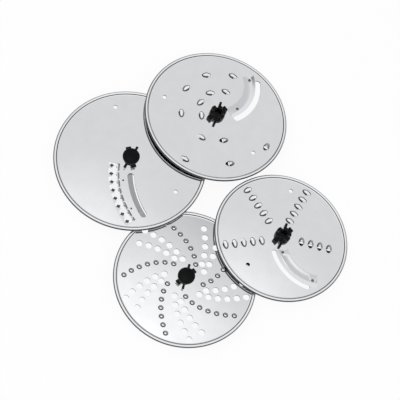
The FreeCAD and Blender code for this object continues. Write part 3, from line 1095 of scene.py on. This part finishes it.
    def mark_recesses(self, mesh: bpy.types.Mesh, lie: Lie) -> None:
        """Mark the faces that look up from just under the top of a strip on the sheet, where a painted shade goes.

        Args:
            mesh: Mesh in the row frame.
            lie: Where the disc lies.
        """
        flat = lie.matrix.inverted()
        up = (lie.matrix.to_3x3() @ Vector((0.0, 0.0, 1.0))).normalized()
        low, high = self.recess_span
        marks = mesh.attributes.new("recess", "FLOAT", "FACE")
        for face in mesh.polygons:
            height = (flat @ face.center).z - self.half
            marks.data[face.index].value = float(low < height < high and face.normal.dot(up) > UPRIGHT)

    def hand_over(self, piece: str, mesh: bpy.types.Mesh, slot: Slot, finish: bpy.types.Material) -> None:
        """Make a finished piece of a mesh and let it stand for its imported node.

        Args:
            piece: Name of the piece on the disc.
            mesh: Mesh in the row frame.
            slot: Material slot of the record.
            finish: Material of the piece.
        """
        mesh.materials.clear()
        mesh.materials.append(finish)
        mesh.polygons.foreach_set("material_index", [0] * len(mesh.polygons))
        mesh.shade_smooth()
        mesh.set_sharp_from_angle(angle=math.radians(self.sharp_angle))
        node = f"{self.name}_{piece}"
        made = bpy.data.objects.new(f"{node}_dressed", mesh)
        bpy.context.scene.collection.objects.link(made)
        # The photograph's sheets mirror no hub, so the plastic stays out of reflections.
        made.visible_glossy = slot is not Slot.PLASTIC
        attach(made, self.name)
        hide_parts(node)
        LOG.info("%s: %d faces", made.name, len(mesh.polygons))


@dataclass
class Tooth:
    """Hooded shredding tooth with an open mouth over an opening in the sheet.

    Attributes:
        length: From the mouth back to the hood's tip.
        radius: Height of the mouth, and half of its width.
        wall: Thickness of the hood.
        throat: How far the opening reaches before the mouth.
        back_share: Share of the length that the opening reaches under the hood.
        lip_depth: How far the lip before the mouth goes down.
        held_lip_depth: That depth where the lip has to stay within the sheet.
        lip_gap: Shift that keeps the lip's corners apart from the hood's.
    """

    length: float = 5.2
    radius: float = 2.7
    wall: float = 0.6
    throat: float = 3.1
    back_share: float = 0.6
    lip_depth: float = 1.1
    held_lip_depth: float = 0.45
    lip_gap: float = 0.02
    rings: int = 12
    steps: int = 18
    mouth_steps: int = 24

    def hood(self) -> bpy.types.Mesh:
        """Shell of one tooth, its mouth towards +X and its foot in the sheet.

        Returns:
            The closed shell.
        """
        builder = bmesh.new()
        arc = [math.pi * step / self.steps for step in range(self.steps + 1)]
        shells = []
        for radius, length in ((self.radius, self.length), (self.radius - self.wall, self.length - self.wall)):
            rows = []
            for ring in range(self.rings):
                turn = math.pi / 2 * ring / self.rings
                size, x = radius * math.cos(turn), -length * math.sin(turn)
                rows.append([builder.verts.new((x, size * math.cos(a), size * math.sin(a))) for a in arc])
            rows.append([builder.verts.new((-length, 0.0, 0.0))] * (self.steps + 1))
            shells.append(rows)
        outer, inner = shells
        foot, heel = ([row[0] for row in rows] + [row[-1] for row in rows[-2::-1]] for rows in shells)
        for rings in (outer, inner, [outer[0], inner[0]], [foot, heel]):
            Workshop.stitch(builder, rings, False)
        return Workshop.closed_mesh(builder, "hood")

    def pressing(self, depth: float) -> bpy.types.Mesh:
        """Hood of one tooth and the shallow lip in front of its mouth, pressed down as the hood is pressed up.

        Args:
            depth: How far the lip goes down from the sheet's middle.

        Returns:
            Both shells in one mesh.
        """
        lip = self.hood()
        ahead = (self.throat + self.wall) / self.length
        lip.transform(Matrix.Diagonal((-ahead, 1.0, -depth / self.radius, 1.0)))
        lip.transform(Matrix.Translation((self.lip_gap, 0.0, -self.lip_gap)))
        return Workshop.joined([self.hood(), lip])

    def mouth(self, place: Place) -> list[Point]:
        """Outline of the opening in the sheet under a tooth.

        Args:
            place: Position and heading of the tooth.

        Returns:
            Points of an oval, in order.
        """
        back = self.length * self.back_share
        middle, reach = (self.throat - back) / 2, (self.throat + back) / 2
        turn = math.radians(place[2])
        outline = []
        for x, y in circle(1.0, self.mouth_steps):
            along, across = middle + x * reach, y * (self.radius - self.wall)
            outline.append((place[0] + along * math.cos(turn) - across * math.sin(turn),
                            place[1] + along * math.sin(turn) + across * math.cos(turn)))
        return outline


@dataclass
class ToothedDisc(CuttingDisc):
    """Disc with shredding teeth.

    Attributes:
        teeth: Share of the way out and angle of each tooth.
        tooth: Shape of one tooth.
        over_rim: Numbers of the teeth that lie over another disc's rim.
    """

    teeth: list[Pair] = field(default_factory=list)
    tooth: Tooth = field(default_factory=Tooth)
    over_rim: tuple[int, ...] = ()

    def places(self) -> list[Place]:
        """Position and heading of each tooth, its mouth facing clockwise."""
        return [(*self.spot(share, angle), angle - 90) for share, angle in self.teeth]

    def openings(self) -> list[list[Point]]:
        """Outlines of the slot and of the openings under the teeth."""
        return super().openings() + [self.tooth.mouth(place) for place in self.places()]

    def raised(self, workshop: Workshop, finish: bpy.types.Material) -> list[bpy.types.Mesh]:
        """Hoods and lips of the teeth.

        Args:
            workshop: Mesh builder.
            finish: Material of the sheet.

        Returns:
            Teeth with a full lip, and those whose lip stays within the sheet because they lie over a rim.
        """
        groups: dict[float, list[Place]] = {self.tooth.lip_depth: [], self.tooth.held_lip_depth: []}
        for number, place in enumerate(self.places()):
            depth = self.tooth.held_lip_depth if number in self.over_rim else self.tooth.lip_depth
            groups[depth].append(place)
        return [workshop.repeat(self.tooth.pressing(depth), places, finish) for depth, places in groups.items()]


@dataclass(frozen=True)
class SpiralRow:
    """Row of places that runs outwards along a spiral.

    Attributes:
        start: Share of the way out and angle of the first place.
        end: Share of the last place.
        twist: Degrees of turn for each e-fold of radius.
        count: Places in the row.
    """

    start: Pair
    end: float
    twist: float
    count: int


@dataclass
class GratingDisc(CuttingDisc):
    """Disc with spiral rows of rasp rings and plain holes.

    Attributes:
        sectors: How often each row comes round the disc.
        rasp_row: Where the rasp rings sit.
        rasp_section: Radius and height round a ring's tapering collar, from the foot of its bore.
        hole_rows: Where the plain holes sit.
        hole_radius: Size of a plain hole.
    """

    sectors: int = 5
    rasp_row: SpiralRow = SpiralRow((0.097, 5), 0.874, 44, 7)
    rasp_section: tuple[Point, ...] = (
        (1.0, 0.3), (2.45, 0.3), (2.45, 0.5), (2.1, 0.66), (1.72, 1.1), (1.48, 1.58), (1.3, 1.7), (1.1, 1.68),
        (1.0, 1.55))
    rasp_steps: int = 28
    hole_rows: tuple[SpiralRow, ...] = (
        SpiralRow((0.14, 46), 0.917, 30, 6), SpiralRow((0.192, 65.6), 0.813, 30, 5))
    hole_radius: float = 2.75

    def spiral(self, row: SpiralRow) -> list[Point]:
        """Points in even steps outwards along a row, in every sector.

        Args:
            row: The row.

        Returns:
            Points, one sector after the other.
        """
        first, last = self.reach(row.start[0]), self.reach(row.end)
        points = []
        for sector in range(self.sectors):
            turn = 360 * sector / self.sectors + row.start[1]
            for step in range(row.count):
                radius = first + (last - first) * step / (row.count - 1)
                points.append(polar(radius, turn + row.twist * math.log(radius / first)))
        return points

    def holes(self) -> list[Place]:
        """Round holes of the sheet.

        Returns:
            Centres and radii of the hub's hole, the plain holes and the rasp rings' bores.
        """
        plain = [(*point, self.hole_radius) for row in self.hole_rows for point in self.spiral(row)]
        bores = [(*point, self.rasp_section[0][0]) for point in self.spiral(self.rasp_row)]
        return super().holes() + plain + bores

    def raised(self, workshop: Workshop, finish: bpy.types.Material) -> list[bpy.types.Mesh]:
        """Tapering collars of the rasp rings.

        Args:
            workshop: Mesh builder.
            finish: Material of the sheet.

        Returns:
            One mesh with all collars.
        """
        collar = workshop.lathe(list(self.rasp_section), self.rasp_steps, True)
        return [workshop.repeat(collar, [(*point, 0.0) for point in self.spiral(self.rasp_row)], finish)]


@dataclass(frozen=True)
class SoftPanel:
    """Round patch of the light tent that is brighter or dimmer than the rest, with a soft edge.

    Attributes:
        aim: Sideways and away parts of the direction of its middle.
        reach: How far from that direction it fades out.
        gain: Light that it adds, less than zero where it dims.
        core: How far it has its full strength.
    """

    aim: Pair
    reach: float
    gain: float
    core: float = 0.0

    def shine(self, tree: bpy.types.NodeTree, way: bpy.types.NodeSocket, rest: object) -> bpy.types.NodeSocket:
        """Add the panel's light.

        Args:
            tree: Node tree of the world.
            way: Socket of the direction looked in.
            rest: Constant or socket of the light that is there already.

        Returns:
            Socket of the sum.
        """
        centre = (*self.aim, math.sqrt(1 - self.aim[0] ** 2 - self.aim[1] ** 2))
        apart = add_node(tree, "ShaderNodeVectorMath", {0: way, 1: centre}, operation="DISTANCE")
        share = add_node(tree, "ShaderNodeMapRange", {
            "Value": apart.outputs["Value"], "From Min": self.core, "From Max": self.reach,
            "To Min": self.gain, "To Max": 0.0}, interpolation_type="SMOOTHSTEP")
        return add_node(tree, "ShaderNodeMath", {0: rest, 1: share.outputs["Result"]}, operation="ADD").outputs[0]


@dataclass(frozen=True)
class SoftBox:
    """Square lamp that points at the origin: its place and size in metres and its power in watts."""

    name: str
    place: tuple[float, float, float]
    size: float
    power: float

    def hang(self) -> None:
        """Hang the lamp, out of sight of the steel, which mirrors the tent alone."""
        data = bpy.data.lights.new(self.name, "AREA")
        data.size = self.size
        data.energy = self.power
        lamp = bpy.data.objects.new(self.name, data)
        lamp.location = self.place
        lamp.visible_glossy = False
        lamp.rotation_euler = (-Vector(self.place)).to_track_quat("-Z", "Y").to_euler()
        bpy.context.scene.collection.objects.link(lamp)


@dataclass(frozen=True)
class Studio:
    """Pale floor, soft light and the camera at the photograph's angle."""

    target_mm: tuple[float, float, float] = (-0.61, -0.46, 0.0)
    elevation: float = 66.1
    roll: float = 23.1
    distance_mm: float = 2000.0
    lens_mm: float = 209.4
    sensor_mm: float = 36.0
    clip_m: Pair = (0.05, 20.0)
    # Floor: it lies a hair under the discs, and its glow in reflections dies away near them.
    floor_colour: str = "#F4F4F4"
    floor_glow: float = 0.93
    floor_half_m: float = 3.0
    floor_drop_m: float = 0.0002
    shade_reach_mm: float = 90.0
    shade_power: float = 2.0
    shade_samples: int = 6
    # Light tent: its tone in reflections, its even tone for all other light, and its patches.
    tent_tone: float = 1.28
    soft_tone: float = 0.55
    panels: tuple[SoftPanel, ...] = (
        # Dims what all the sheets mirror at the photograph's angle.
        SoftPanel((0.02, 0.5), 0.32, -0.32, 0.2),
        # A lighter and a darker part of the grating disc.
        SoftPanel((-0.005, 0.32), 0.08, 0.85), SoftPanel((0.015, 0.43), 0.075, -0.35),
        # A lighter part of the julienne, the shred and the coarse disc.
        SoftPanel((-0.11, 0.415), 0.065, 0.85), SoftPanel((0.14, 0.485), 0.075, 0.6),
        SoftPanel((0.03, 0.55), 0.06, 0.35))
    # Height of the direction looked in, and the tent's share of its tone there: grey, a dark band, then full.
    skirt: tuple[Pair, ...] = (
        (0.0, 0.4), (0.38, 0.34), (0.46, 0.14), (0.54, 0.16), (0.62, 0.9), (0.72, 1.0), (1.0, 1.0))
    boxes: tuple[SoftBox, ...] = (
        SoftBox("left box", (-0.9, -0.3, 1.0), 1.3, 9.0), SoftBox("right box", (1.0, -0.5, 0.8), 1.0, 4.0))

    @staticmethod
    def set_stops(ramp: bpy.types.ColorRamp, stops: tuple[Pair, ...]) -> None:
        """Give a ramp its stops.

        Args:
            ramp: Ramp to change.
            stops: Position and grey value of each.
        """
        while len(ramp.elements) < len(stops):
            ramp.elements.new(0.5)
        for element, (position, value) in zip(ramp.elements, stops):
            element.position = position
            element.color = (value, value, value, 1.0)

    def camera(self) -> None:
        """Set the camera."""
        tilt, roll = math.radians(self.elevation), math.radians(self.roll)
        back = Vector((0.0, -math.cos(tilt), math.sin(tilt)))
        right = Vector((1.0, 0.0, 0.0))
        up = back.cross(right)
        image_right = right * math.cos(roll) + up * math.sin(roll)
        image_up = up * math.cos(roll) - right * math.sin(roll)
        turn = Matrix((image_right, image_up, back)).transposed().to_4x4()
        data = bpy.data.cameras.new("camera")
        data.lens = self.lens_mm
        data.sensor_width = self.sensor_mm
        data.clip_start, data.clip_end = self.clip_m
        camera = bpy.data.objects.new("camera", data)
        place = Vector(self.target_mm) * MM + back * self.distance_mm * MM
        camera.matrix_world = Matrix.Translation(place) @ turn
        bpy.context.scene.collection.objects.link(camera)
        bpy.context.scene.camera = camera

    def floor(self) -> None:
        """Lay the floor: white to the eye, in reflections dim where the discs lie over it, and a faint shadow."""
        material = empty_material("white studio floor")
        tree = material.node_tree
        path = add_node(tree, "ShaderNodeLightPath")
        openness = add_node(tree, "ShaderNodeAmbientOcclusion", {
            "Distance": self.shade_reach_mm * MM}, samples=self.shade_samples)
        dimmed = add_node(tree, "ShaderNodeMath", {
            0: openness.outputs["AO"], 1: self.shade_power}, operation="POWER")
        mirrored = add_node(tree, "ShaderNodeMath", {
            0: path.outputs["Is Glossy Ray"], 1: dimmed.outputs[0]}, operation="MULTIPLY")
        seen = add_node(tree, "ShaderNodeMath", {
            0: path.outputs["Is Camera Ray"], 1: mirrored.outputs[0]}, operation="MAXIMUM")
        share = add_node(tree, "ShaderNodeMath", {0: seen.outputs[0], 1: self.floor_glow}, operation="MULTIPLY")
        paint = add_node(tree, "ShaderNodeBsdfDiffuse", {"Color": linear(self.floor_colour)})
        glow = add_node(tree, "ShaderNodeEmission", {"Color": WHITE, "Strength": 1.0})
        mixed = add_node(tree, "ShaderNodeMixShader", {
            0: share.outputs[0], 1: paint.outputs[0], 2: glow.outputs[0]})
        add_node(tree, "ShaderNodeOutputMaterial", {"Surface": mixed.outputs[0]})
        mesh = bpy.data.meshes.new("floor")
        half = self.floor_half_m
        mesh.from_pydata([(-half, -half, 0), (half, -half, 0), (half, half, 0), (-half, half, 0)], [], [range(4)])
        mesh.materials.append(material)
        floor = bpy.data.objects.new("floor", mesh)
        floor.location.z = -self.floor_drop_m
        bpy.context.scene.collection.objects.link(floor)

    def world(self) -> None:
        """Light tent: white to the eye, and in reflections bright overhead over a grey skirt with a dark band."""
        world = bpy.data.worlds.new("light tent")
        bpy.context.scene.world = world
        world.use_nodes = True
        tree = world.node_tree
        tree.nodes.clear()
        path = add_node(tree, "ShaderNodeLightPath")
        way = add_node(tree, "ShaderNodeTexCoord").outputs["Generated"]
        parts = add_node(tree, "ShaderNodeSeparateXYZ", {"Vector": way})
        ramp = add_node(tree, "ShaderNodeValToRGB", {"Fac": parts.outputs["Z"]})
        self.set_stops(ramp.color_ramp, self.skirt)
        light: object = self.tent_tone
        for panel in self.panels:
            light = panel.shine(tree, way, light)
        tent = add_node(tree, "ShaderNodeMix", {
            MIX_SHARE: 1.0, MIX_FIRST: ramp.outputs["Color"], MIX_SECOND: light},
            data_type="RGBA", blend_type="MULTIPLY")
        even = (self.soft_tone, self.soft_tone, self.soft_tone, 1.0)
        soft = add_node(tree, "ShaderNodeMix", {
            MIX_SHARE: path.outputs["Is Glossy Ray"], MIX_FIRST: even, MIX_SECOND: tent.outputs[MIXED]},
            data_type="RGBA")
        eye = add_node(tree, "ShaderNodeMix", {
            MIX_SHARE: path.outputs["Is Camera Ray"], MIX_FIRST: soft.outputs[MIXED], MIX_SECOND: WHITE},
            data_type="RGBA")
        shine = add_node(tree, "ShaderNodeBackground", {"Color": eye.outputs[MIXED], "Strength": 1.0})
        add_node(tree, "ShaderNodeOutputWorld", {"Surface": shine.outputs["Background"]})

    def build(self) -> None:
        """Build the studio, with its lamps for the floor and the plastic."""
        bpy.context.scene.view_settings.view_transform = "Standard"
        self.camera()
        self.floor()
        self.world()
        for box in self.boxes:
            box.hang()


def discs() -> list[CuttingDisc]:
    """The four discs of the set.

    Returns:
        Coarse, julienne, shred and grating disc.
    """
    # Angle of each spoke of teeth on the coarse disc, then the shares of the way out; angle and count of a row
    # on the shred disc, whose teeth are evenly spaced.
    spokes = ((200, 0.03, 0.40), (156, 0.14, 0.51), (121, 0.24, 0.61), (89, 0.32, 0.69), (258, 0.30, 0.86),
              (304, 0.26, 0.73), (350, 0.82))
    rows = ((11, 4), (82, 5), (145, 5), (213, 5))
    first, spacing = 0.147, 0.185
    return [
        ToothedDisc(
            "coarse_disc", "coarse_drive_bore", diameter=126.7, facing=Facing.COUPLING, lugs=(95, 58),
            lift_holes=[(0.75, 184), (0.71, 336)],
            knife=Knife(start=(0.056, 21), end=(0.877, 69.9), bulge=7.85, side=1, slot_span=(-1.2, 4.7),
                        back=-10.2, rivet_shares=(0.19, 0.98)),
            teeth=[(share, spoke[0]) for spoke in spokes for share in spoke[1:]], over_rim=(8,)),
        CuttingDisc(
            "julienne_disc", "julienne_drive_bore", diameter=132.3, facing=Facing.CAP, lugs=(82, 126),
            lift_holes=[(0.79, 126), (0.71, 346)],
            knife=Knife(start=(0.011, 279.1), end=(0.876, 302.6), bulge=3.18, side=-1, slot_span=(0.0, 5.8),
                        back=-8.0, rivet_shares=(0.16, 0.72))),
        ToothedDisc(
            "shred_disc", "shred_drive_bore", diameter=118.4, facing=Facing.COUPLING, lugs=(94, 60),
            lift_holes=[(0.78, 99), (0.67, 244)],
            knife=Knife(start=(0.007, 259.3), end=(0.885, 322.0), bulge=7.15, side=1, slot_span=(-1.2, 3.5),
                        back=-11.4, rivet_shares=(0.12, 0.98)),
            teeth=[(first + spacing * step, angle) for angle, count in rows for step in range(count)],
            over_rim=(16,)),
        GratingDisc(
            "grate_disc", "grate_drive_bore", diameter=122.5, facing=Facing.CAP, lugs=(97, 60), lift_holes=[]),
    ]


def main() -> None:
    """Dress every disc, then build the studio."""
    logging.basicConfig(level=logging.INFO, format="%(name)s %(message)s")
    finishes = Finishes()
    workshop = Workshop()
    mounts = {mount["name"]: mount for mount in frame["record"]["mounts"]}
    for disc in discs():
        disc.dress(workshop, finishes, mounts)
    Studio().build()


if __name__ == "__main__":
    main()
